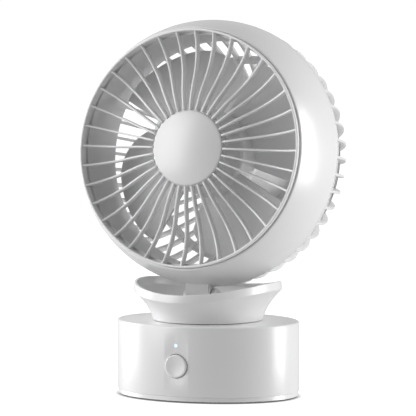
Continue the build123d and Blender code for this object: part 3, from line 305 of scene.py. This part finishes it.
def makeButton():
    front, radius, edge = button["front"], button["radius"], button["edge"]
    shares = [step / button["dishSteps"] for step in range(button["dishSteps"] + 1)]
    dish = [(button["dishRadius"] * share, front - button["dish"] * (1 - share ** 2)) for share in shares]
    angles = [math.pi / 2 * step / button["edgeSteps"] for step in range(button["edgeSteps"] + 1)]
    corner = [(radius - edge * (1 - math.sin(angle)), front - edge * (1 - math.cos(angle)))
              for angle in angles]
    behind = [(radius, button["flangeFront"]), (button["flange"], button["flangeFront"]),
              (button["flange"], button["flangeBack"]), (button["stem"], button["flangeBack"]),
              (button["stem"], button["stemBack"]), (0, button["stemBack"])]
    facing = Matrix.Translation((0, 0, base["buttonHeight"])) @ Matrix.Rotation(math.pi / 2, 4, "X")
    bm = spinProfile(dish + corner + behind, facing, 96)
    return finishPiece(bm, "pushButton", "button", "satinWhite", ["power_button"], smooth=40)


makeButton()
print("button done")

neck = dict(foot=33.0 * mm, bottom=45.7 * mm, wall=2.2 * mm, rim=44.6 * mm, crest=69.3 * mm, curve=0.64,
            arch=170.0 * mm, band=4.7 * mm, lean=0.6 * mm, lip=1.6 * mm, rimEdge=0.28 * mm, rows=18,
            plateBottom=47.6 * mm, plateTop=49.6 * mm, gapBelow=0.6 * mm, gapAbove=0.4 * mm,
            spindle=9.0 * mm)


def makeNeck():
    crestEdge = neck["crest"] - neck["band"]
    rise, spread = crestEdge - neck["bottom"], neck["rim"] - neck["foot"]

    def flare(share, inset=0.0):
        grown = (1 - neck["curve"]) * share + neck["curve"] * share * share
        return neck["foot"] - inset + spread * grown, neck["bottom"] + rise * share

    outer = [flare(step / neck["rows"]) for step in range(neck["rows"] + 1)]
    inner = [flare(step / neck["rows"], neck["wall"]) for step in range(neck["rows"], -1, -1)]
    bandTop = neck["rim"] - neck["lean"]
    profile = outer + [(bandTop, neck["crest"]), (bandTop - neck["lip"], neck["crest"])] + inner
    bm = spinProfile(profile, upright, 224)
    rimEdges = sharpEdges(bm, 20, lambda edge: lowest(edge) > crestEdge - close)
    roundEdges(bm, rimEdges, neck["rimEdge"], 3)
    # the rim arches over each side, lowest at the front and back
    for v in bm.verts:
        sideY = v.co.y / math.hypot(v.co.x, v.co.y) * neck["rim"]
        drop = sideY ** 2 / (2 * neck["arch"])
        share = min(1.0, (v.co.z - neck["bottom"]) / rise)
        v.co.z -= drop * share
    # the floor of the neck, a plate with the spindle's hole in it
    plate = [(neck["spindle"], neck["plateBottom"]), (neck["foot"] - neck["gapBelow"], neck["plateBottom"]),
             (neck["foot"] - neck["gapAbove"], neck["plateTop"]), (neck["spindle"], neck["plateTop"])]
    joinShapes(bm, spinProfile(plate, upright, 96))
    return finishPiece(bm, "neckFlare", "neck", "satinWhite", ["neck_shell"], smooth=28)


makeNeck()
print("neck done")

shell = dict(radius=80.0 * mm, wall=1.8 * mm, rear=-1.0 * mm, front=34.17 * mm, lip=71.2 * mm,
             lipRear=30.47 * mm, frontEdge=0.45 * mm, rearEdge=0.3 * mm)


def makeShell():
    outer = arcPoints(shell["radius"], shell["rear"], shell["front"], 26)
    inner = arcPoints(shell["radius"] - shell["wall"], shell["rear"], shell["lipRear"], 20)
    profile = outer + [(shell["lip"], shell["front"]), (shell["lip"], shell["lipRear"])] + inner[::-1]
    bm = spinProfile(profile, upright, 256)
    front = sharpEdges(bm, 25, lambda edge: lowest(edge) > shell["front"] - close)
    roundEdges(bm, front, shell["frontEdge"], 4)
    rear = sharpEdges(bm, 25, lambda edge: highest(edge) < shell["rear"] + close)
    roundEdges(bm, rear, shell["rearEdge"], 2)
    bm.transform(headTurn)
    return finishPiece(bm, "headShell", "head", "satinWhite", ["front_shell"])


makeShell()
print("shell done")

grille = dict(ribs=36, thick=1.2 * mm, deep=4.6 * mm, dip=4.9 * mm, plane=36.67 * mm, stations=15,
              edge=0.34 * mm, ringOuter=71.1 * mm, ringWidth=1.4 * mm, ringRear=30.47 * mm,
              ringEdge=0.4 * mm, hub=23.6 * mm, hubRear=30.97 * mm, hubThick=3.0 * mm, hubEdge=0.4 * mm,
              seatInHub=0.8 * mm, seatInRing=0.6)
# how far along a rib, and how deep it dips there as a share of the whole dip
ribDips = ((0.0, 0.0), (0.25, 0.28), (0.41, 0.71), (0.57, 1.0), (0.72, 0.98), (0.87, 0.66), (1.0, 0.06))


def smoothCurve(knots, share):
    # value at a share of the way along, easing through the knots
    for (x0, y0), (x1, y1) in zip(knots, knots[1:]):
        if share <= x1:
            index = knots.index((x0, y0))
            before = knots[max(index - 1, 0)]
            after = knots[min(index + 2, len(knots) - 1)]
            slope0 = (y1 - before[1]) / (x1 - before[0])
            slope1 = (after[1] - y0) / (after[0] - x0)
            t, span = (share - x0) / (x1 - x0), x1 - x0
            return ((2 * t ** 3 - 3 * t ** 2 + 1) * y0 + (t ** 3 - 2 * t ** 2 + t) * span * slope0
                    + (3 * t ** 2 - 2 * t ** 3) * y1 + (t ** 3 - t ** 2) * span * slope1)
    return knots[-1][1]


def repeatRound(bm, geometry, count):
    for turn in range(1, count):
        copied = bmesh.ops.duplicate(bm, geom=geometry)["geom"]
        verts = [item for item in copied if isinstance(item, bmesh.types.BMVert)]
        spin = Matrix.Rotation(math.tau * turn / count, 3, "Z")
        bmesh.ops.rotate(bm, cent=(0, 0, 0), matrix=spin, verts=verts)


def makeStrip(points, shift, thick, edge):
    # a line of points drawn out sideways into a strip, given its thickness and rounded along its edges
    bm = bmesh.new()
    verts = [bm.verts.new(point) for point in points]
    edges = [bm.edges.new(pair) for pair in zip(verts, verts[1:])]
    grown = bmesh.ops.extrude_edge_only(bm, edges=edges)["geom"]
    for v in [item for item in grown if isinstance(item, bmesh.types.BMVert)]:
        v.co += shift(v.co)
    bmesh.ops.recalc_face_normals(bm, faces=bm.faces)
    bmesh.ops.solidify(bm, geom=bm.faces[:], thickness=thick)
    middle = sum(v.co.y for v in bm.verts) / len(bm.verts)
    bmesh.ops.translate(bm, vec=(0, -middle, 0), verts=bm.verts)
    bmesh.ops.recalc_face_normals(bm, faces=bm.faces)
    roundEdges(bm, sharpEdges(bm, 50), edge, 2)
    return bm


def makeGrille():
    start = grille["hub"] - grille["seatInHub"]
    end = grille["ringOuter"] - grille["ringWidth"] * grille["seatInRing"]
    points = []
    for step in range(grille["stations"]):
        share = step / (grille["stations"] - 1)
        dip = smoothCurve(ribDips, share)
        points.append((start + (end - start) * share, 0, grille["plane"] - grille["dip"] * dip))
    bm = makeStrip(points, lambda co: Vector((0, 0, -grille["deep"])), grille["thick"], grille["edge"])
    repeatRound(bm, bm.verts[:] + bm.edges[:] + bm.faces[:], grille["ribs"])
    outer, inner = grille["ringOuter"], grille["ringOuter"] - grille["ringWidth"]
    ring = spinProfile([(inner, grille["ringRear"]), (inner, grille["plane"]), (outer, grille["plane"]),
                        (outer, grille["ringRear"])], upright, 256)
    ringFront = sharpEdges(ring, 50, lambda edge: lowest(edge) > grille["plane"] - close)
    roundEdges(ring, ringFront, grille["ringEdge"], 3)
    hubFront = grille["hubRear"] + grille["hubThick"]
    hub = spinProfile([(0, grille["hubRear"]), (0, hubFront), (grille["hub"], hubFront),
                       (grille["hub"], grille["hubRear"])], upright, 128)
    roundEdges(hub, sharpEdges(hub, 50), grille["hubEdge"], 2)
    joinShapes(bm, ring, hub)
    bm.transform(headTurn)
    return finishPiece(bm, "grilleRibs", "head", "satinWhite", ["front_grille"])


makeGrille()
print("grille done")

cap = dict(radius=22.3 * mm, seat=33.97 * mm, side=2.4 * mm, crown=3.2 * mm, wall=1.6 * mm, edge=0.9 * mm)


def makeCap():
    crownRadius = (cap["radius"] ** 2 + cap["crown"] ** 2) / (2 * cap["crown"])
    shoulder = cap["seat"] + cap["side"]
    top = shoulder + cap["crown"]
    nearTop = shoulder + cap["crown"] * 0.999999  # the arc stops short of the pole, which is set below
    dome = arcPoints(crownRadius, shoulder, nearTop, 24, top - crownRadius)
    dome[-1] = (0.0, top)
    inside = cap["radius"] - cap["wall"]
    under = [(0, top - cap["wall"]), (inside, shoulder - cap["wall"] / 2), (inside, cap["seat"]),
             (cap["radius"], cap["seat"])]
    bm = spinProfile(dome + under, upright, 160)
    rim = sharpEdges(bm, 40, lambda edge: all(abs(v.co.z - shoulder) < close for v in edge.verts))
    roundEdges(bm, rim, cap["edge"], 5)
    bm.transform(headTurn)
    return finishPiece(bm, "grilleCap", "head", "satinWhite", ["front_cap"], smooth=40)


makeCap()
print("cap done")

rotor = dict(hub=26.0 * mm, front=12.7 * mm, rear=-10.0 * mm, wall=1.8 * mm, edge=3.0 * mm,
             blades=4, tip=64.0 * mm, sweep=79.0, phase=61.0, thick=1.6 * mm, scoop=0.64 * mm,
             rootFront=10.5 * mm, rootRear=-6.5 * mm, tipFront=9.0 * mm, tipRear=-9.5 * mm,
             trailStart=0.55, trailDraw=0.25, trailPower=2.2, leadEnd=0.12, leadDraw=0.03,
             bladeEdge=0.5 * mm, around=22, out=12)


def bladeTip(share):
    # the trailing corner is drawn in, and the leading one a little
    trailing = max(0.0, (share - rotor["trailStart"]) / (1 - rotor["trailStart"])) ** rotor["trailPower"]
    leading = max(0.0, (rotor["leadEnd"] - share) / rotor["leadEnd"])
    return rotor["tip"] * (1 - rotor["trailDraw"] * trailing - rotor["leadDraw"] * leading)


def makeRotorHub():
    front, inside = rotor["front"], rotor["hub"] - rotor["wall"]
    hub = spinProfile([(0, front), (rotor["hub"], front), (rotor["hub"], rotor["rear"]),
                       (inside, rotor["rear"]), (inside, front - rotor["wall"]), (0, front - rotor["wall"])],
                      upright, 128)
    frontEdges = sharpEdges(hub, 50, lambda edge: lowest(edge) > front - close)
    roundEdges(hub, frontEdges, rotor["edge"], 6)
    return hub


def makeRotor():
    hub = makeRotorHub()
    blade = bmesh.new()
    bmesh.ops.create_grid(blade, x_segments=rotor["around"], y_segments=rotor["out"], size=0.5)
    root = rotor["hub"] - rotor["wall"] / 2
    for v in blade.verts:
        share, out = v.co.x + 0.5, v.co.y + 0.5
        radius = root + (bladeTip(share) - root) * out
        rootPlace = rotor["rootFront"] + (rotor["rootRear"] - rotor["rootFront"]) * share
        tipPlace = rotor["tipFront"] + (rotor["tipRear"] - rotor["tipFront"]) * share
        turn = math.radians(rotor["phase"] - rotor["sweep"] * share)
        scooped = rotor["scoop"] * math.sin(math.pi * share) * out  # a shallow scoop across the blade
        v.co = Vector((radius * math.cos(turn), radius * math.sin(turn),
                       rootPlace + (tipPlace - rootPlace) * out - scooped))
    bmesh.ops.recalc_face_normals(blade, faces=blade.faces)
    bmesh.ops.solidify(blade, geom=blade.faces[:], thickness=rotor["thick"])
    bmesh.ops.recalc_face_normals(blade, faces=blade.faces)
    roundEdges(blade, sharpEdges(blade, 55), rotor["bladeEdge"], 2)
    repeatRound(blade, blade.verts[:] + blade.edges[:] + blade.faces[:], rotor["blades"])
    joinShapes(blade, hub)
    blade.transform(headTurn)
    return finishPiece(blade, "fanBlades", "rotor", "bladeWhite", ["impeller"], smooth=40)


makeRotor()
print("rotor done")

cage = dict(radius=80.0 * mm, fins=48, thick=1.7 * mm, deep=4.8 * mm, edge=0.5 * mm, stations=18,
            finEnd=1.0 * mm, front=-1.0 * mm, ringThick=1.8 * mm, ringInner=70.3 * mm, ringInset=0.1 * mm,
            recess=1.8 * mm, ringDepth=2.2 * mm, firstRing=-9.0 * mm, firstSize=1.3 * mm,
            secondRing=-46.0 * mm, secondWidth=3.0 * mm, disc=35.5 * mm, discFront=-70.5 * mm,
            discThick=2.6 * mm, ringEdge=0.3 * mm)


def makeCageRings():
    # the front ring, two rings behind it that tie the fins together, and the disc at the back
    front, frontRear = cage["front"], cage["front"] - cage["ringThick"]
    frontOuter = cage["radius"] - cage["ringInset"]
    frontRing = spinProfile([(cage["ringInner"], frontRear), (cage["ringInner"], front), (frontOuter, front),
                             (frontOuter, frontRear)], upright, 224)
    ringRadius, half = cage["radius"] - cage["recess"], cage["firstSize"] / 2
    far = math.sqrt(ringRadius ** 2 - cage["firstRing"] ** 2)
    near, ringFront, ringRear = far - cage["ringDepth"], cage["firstRing"] + half, cage["firstRing"] - half
    firstRing = spinProfile([(near, ringRear), (near, ringFront), (far, ringFront), (far, ringRear)],
                            upright, 224)
    secondFront = cage["secondRing"] + cage["secondWidth"] / 2
    secondRear = cage["secondRing"] - cage["secondWidth"] / 2
    outer = arcPoints(ringRadius, secondFront, secondRear, 3)
    inner = arcPoints(ringRadius - cage["ringDepth"], secondFront, secondRear, 3)
    secondRing = spinProfile(outer + inner[::-1], upright, 192)
    rear = cage["discFront"] - cage["discThick"]
    disc = spinProfile([(0, rear), (0, cage["discFront"]), (cage["disc"], cage["discFront"]),
                        (cage["disc"], rear)], upright, 128)
    return frontRing, firstRing, secondRing, disc


def makeCage():
    finFront = cage["front"] - cage["ringThick"] / 2
    finRear = cage["discFront"] - cage["discThick"] + cage["finEnd"]
    arc = arcPoints(cage["radius"], finFront, finRear, cage["stations"])
    points = [(radius, 0, height) for radius, height in arc]
    bm = makeStrip(points, lambda co: -co.normalized() * cage["deep"], cage["thick"], cage["edge"])
    repeatRound(bm, bm.verts[:] + bm.edges[:] + bm.faces[:], cage["fins"])
    rings = makeCageRings()
    for ring in rings:
        roundEdges(ring, sharpEdges(ring, 50), cage["ringEdge"], 2)
    joinShapes(bm, *rings)
    bm.transform(headTurn)
    return finishPiece(bm, "rearCage", "head", "satinWhite", ["rear_cover"])


makeCage()
print("cage done")

# the other pieces keep their own shape and get a finish
keptLooks = {
    "satinWhite": ["base_plate", "neck_dish", "tilt_yoke"],
    # the tilt lug takes the darker grey as painted shade
    "innerGreyAndLugShade": ["duct_ring", "motor_mount", "tilt_lug"],
    "darkRubber": ["rubber_foot", "friction_washers"],
    "zincSteel": ["base_screws", "motor_screws", "dish_screws", "neck_screws", "head_screws",
                  "mount_screws", "lug_screws", "retaining_clip", "tilt_pin", "motor_shaft",
                  "shaft_nut", "motor_bearings"],
    "pressedSteel": ["ballast_plate", "swing_motor", "rotor_cup"],
    "boardGreen": ["control_board", "inlet_board", "motor_board"],
    "blackPlastic": ["battery_tray", "button_switch"],
    "cellSleeve": ["battery_cell"],
    "litLens": ["indicator_lens"],
    "platedInlet": ["charging_socket"],
    "acetal": ["neck_bush", "neck_spindle", "swing_gear", "drive_pinion"],
    "motorIron": ["motor_stator", "rotor_magnet"],
}
keptEdges = dict(weld=1e-6, sharp=30.0)  # metres, and the angle in degrees past which an edge stays sharp
for look, names in keptLooks.items():
    for name in names:
        kept = nodes[name]
        kept.data.materials.clear()
        kept.data.materials.append(finish[look])
        kept.data.shade_smooth()
        weld = kept.modifiers.new("weld", "WELD")
        weld.merge_threshold = keptEdges["weld"]
        split = kept.modifiers.new("split", "EDGE_SPLIT")
        split.split_angle = math.radians(keptEdges["sharp"])
print("kept pieces finished")

# camera angles in degrees, lengths in metres, lens in millimetres
studio = dict(azimuth=25.04, elevation=4.0, distance=2.0, aim=(0, 0, 0.1122), lens=289.2, sensor=36,
              near=0.05, far=60, lightCentre=(0, 0, 0.11))
# the floor's glow darkens within its reach of the fan as a painted contact shadow
paper = dict(colour=0.10, roughness=0.9, floorGlow=1.1, wallGlow=1.0, paintedShadowReach=4 * mm,
             floorRadius=14.0, wallRadius=30.0)


def makePaper(name, emission, paintedShadowReach=0.0):
    # plain white paper that glows evenly, with a painted contact shadow when given a reach
    material = bpy.data.materials.new(name)
    material.use_nodes = True
    shader = material.node_tree.nodes["Principled BSDF"]
    shader.inputs["Base Color"].default_value = (paper["colour"], paper["colour"], paper["colour"], 1)
    shader.inputs["Roughness"].default_value = paper["roughness"]
    shader.inputs["Specular IOR Level"].default_value = 0.0
    shader.inputs["Emission Color"].default_value = (1, 1, 1, 1)
    shader.inputs["Emission Strength"].default_value = emission
    if paintedShadowReach:
        # painted contact shadow: the glow darkens where the fan stands on it
        paintedShadow = addNode(material.node_tree, "ShaderNodeAmbientOcclusion", Distance=paintedShadowReach)
        material.node_tree.links.new(paintedShadow.outputs["Color"], shader.inputs["Emission Color"])
    return material


def makeSheet(name, bm, material):
    mesh = bpy.data.meshes.new(name)
    bm.to_mesh(mesh)
    bm.free()
    sheet = bpy.data.objects.new(name, mesh)
    bpy.context.scene.collection.objects.link(sheet)
    mesh.materials.append(material)
    sheet.visible_diffuse = sheet.visible_glossy = sheet.visible_shadow = False
    return sheet


def makeStage():
    floor = bmesh.new()
    bmesh.ops.create_circle(floor, segments=96, radius=paper["floorRadius"], cap_ends=True)
    floorPaper = makePaper("paleFloor", paper["floorGlow"], paper["paintedShadowReach"])
    wall = bmesh.new()
    bmesh.ops.create_icosphere(wall, subdivisions=4, radius=paper["wallRadius"])
    wallPaper = makePaper("paleWall", paper["wallGlow"])
    makeSheet("paleFloor", floor, floorPaper)
    makeSheet("paleWall", wall, wallPaper)


# brightness of the room: round the fan by degrees from its front, then overhead and below
room = dict(around=[(-180, 0.55), (-130, 0.60), (-105, 0.5), (-60, 0.38), (-20, 0.34), (0, 0.24),
                    (20, 0.05), (45, 0.05), (75, 0.3), (105, 0.55), (130, 0.70), (180, 0.55)],
            overhead=0.38, overheadFrom=0.35, overheadTo=0.85, below=0.62, belowFrom=-0.10, belowTo=-0.45)


def blendByHeight(tree, height, colour, level, start, end):
    # turns a colour into an even level as the direction climbs or drops from start to end
    share = addNode(tree, "ShaderNodeMapRange", interpolation_type="SMOOTHSTEP")
    share.inputs["From Min"].default_value = start
    share.inputs["From Max"].default_value = end
    tree.links.new(height, share.inputs["Value"])
    blend = addNode(tree, "ShaderNodeMix", data_type="RGBA")
    blend.inputs["B"].default_value = (level, level, level, 1)
    tree.links.new(share.outputs["Result"], blend.inputs["Factor"])
    tree.links.new(colour, blend.inputs["A"])
    return blend.outputs["Result"]


def makeWorld():
    world = bpy.data.worlds.new("studio")
    bpy.context.scene.world = world
    world.use_nodes = True
    tree = world.node_tree
    back = tree.nodes["Background"]
    direction = addNode(tree, "ShaderNodeTexCoord").outputs["Generated"]
    split = addNode(tree, "ShaderNodeSeparateXYZ")
    tree.links.new(direction, split.inputs[0])
    # angle round the fan, from its front: 0 at -180, 0.5 at the front, 1 at +180
    flip = addNode(tree, "ShaderNodeMath", operation="MULTIPLY")
    tree.links.new(split.outputs["Y"], flip.inputs[0])
    flip.inputs[1].default_value = -1
    angle = addNode(tree, "ShaderNodeMath", operation="ARCTAN2")
    tree.links.new(split.outputs["X"], angle.inputs[0])
    tree.links.new(flip.outputs[0], angle.inputs[1])
    turn = addNode(tree, "ShaderNodeMapRange")
    turn.inputs["From Min"].default_value = -math.pi
    turn.inputs["From Max"].default_value = math.pi
    tree.links.new(angle.outputs[0], turn.inputs["Value"])
    ramp = addNode(tree, "ShaderNodeValToRGB")
    elements = ramp.color_ramp.elements
    elements[0].position, elements[1].position = 0.0, 1.0
    places = [((degrees + 180) / 360, level) for degrees, level in room["around"]]
    for stop in places[1:-1]:
        elements.new(stop[0])
    for element, (position, level) in zip(elements, places):
        element.position = position
        element.color = (level, level, level, 1)
    tree.links.new(turn.outputs["Result"], ramp.inputs["Fac"])
    height = split.outputs["Z"]
    over = blendByHeight(tree, height, ramp.outputs["Color"], room["overhead"], room["overheadFrom"],
                         room["overheadTo"])
    under = blendByHeight(tree, height, over, room["below"], room["belowFrom"], room["belowTo"])
    tree.links.new(under, back.inputs["Color"])
    back.inputs["Strength"].default_value = 1.0


# degrees round the fan from its front, degrees up, distance and size in metres, power in watts
softboxes = {
    "leftBox": dict(turn=-88, lift=10, away=1.3, width=0.8, height=1.2, power=12.5),
    "frontLeftBox": dict(turn=-40, lift=16, away=1.5, width=0.8, height=1.2, power=10),
    "rightBox": dict(turn=108, lift=6, away=1.3, width=0.6, height=1.1, power=13),
    "topBox": dict(turn=-60, lift=68, away=1.3, width=1.0, height=1.0, power=1.0),
}


def outward(turn, lift):
    # the direction that is so many degrees round from the fan's front, and so many up
    turn, lift = math.radians(turn), math.radians(lift)
    return Vector((math.sin(turn) * math.cos(lift), -math.cos(turn) * math.cos(lift), math.sin(lift)))


def makeLights():
    for name, box in softboxes.items():
        data = bpy.data.lights.new(name, "AREA")
        data.shape = "RECTANGLE"
        data.size, data.size_y, data.energy = box["width"], box["height"], box["power"]
        lamp = bpy.data.objects.new(name, data)
        bpy.context.scene.collection.objects.link(lamp)
        out = outward(box["turn"], box["lift"])
        lamp.location = Vector(studio["lightCentre"]) + out * box["away"]
        lamp.rotation_euler = out.to_track_quat("Z", "Y").to_euler()
        lamp.visible_camera = False


def makeCamera():
    back = outward(studio["azimuth"], studio["elevation"])
    data = bpy.data.cameras.new("camera")
    camera = bpy.data.objects.new("camera", data)
    bpy.context.scene.collection.objects.link(camera)
    camera.location = Vector(studio["aim"]) + back * studio["distance"]
    camera.rotation_euler = (-back).to_track_quat("-Z", "Y").to_euler()
    data.sensor_width = studio["sensor"]
    data.lens = studio["lens"]
    data.clip_start, data.clip_end = studio["near"], studio["far"]
    bpy.context.scene.camera = camera


makeStage()
makeWorld()
makeLights()
makeCamera()
bpy.context.scene.view_settings.view_transform = "Standard"
print("studio done")
